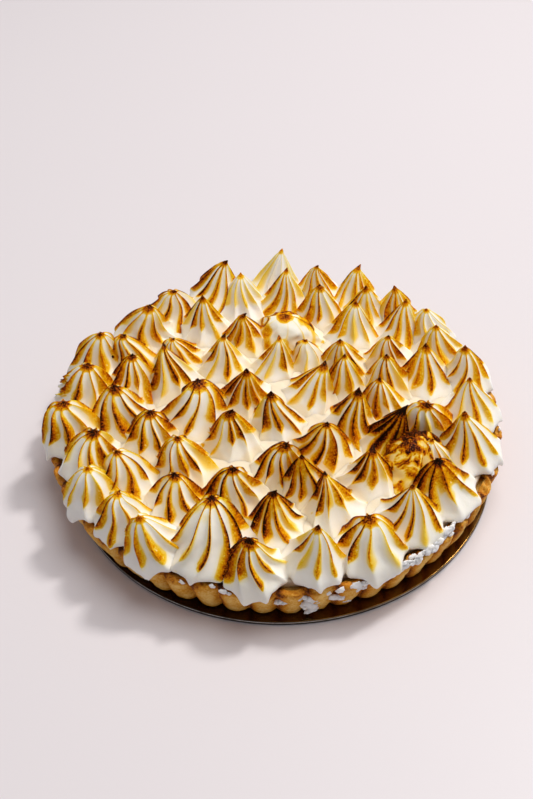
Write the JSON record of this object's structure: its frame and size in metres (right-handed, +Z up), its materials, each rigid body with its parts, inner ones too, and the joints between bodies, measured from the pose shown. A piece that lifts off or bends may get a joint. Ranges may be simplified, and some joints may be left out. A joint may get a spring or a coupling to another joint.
{
  "type": "lemon meringue pie",
  "caption": "Whole round tart in a fluted shortcrust case, covered with torched, piped meringue kisses, on the thin loose base of its tin.",
  "frame": {"origin": "middle of the tart, on the surface that its tin base stands on", "axes": "+Z up; +Y away from the side that is looked at, +X to its right"},
  "size_m": [0.2556, 0.2592, 0.0572],
  "materials": {
    "torched_meringue": "soft satin white with browned ridges",
    "shortcrust": "dry, golden brown, fine grain",
    "dark_tin": "glossy dark non-stick coat"
  },
  "bodies": {
    "root": {"tin_base": "dark_tin", "pastry_crust": "shortcrust", "meringue": "torched_meringue"}
  },
  "joints": []
}
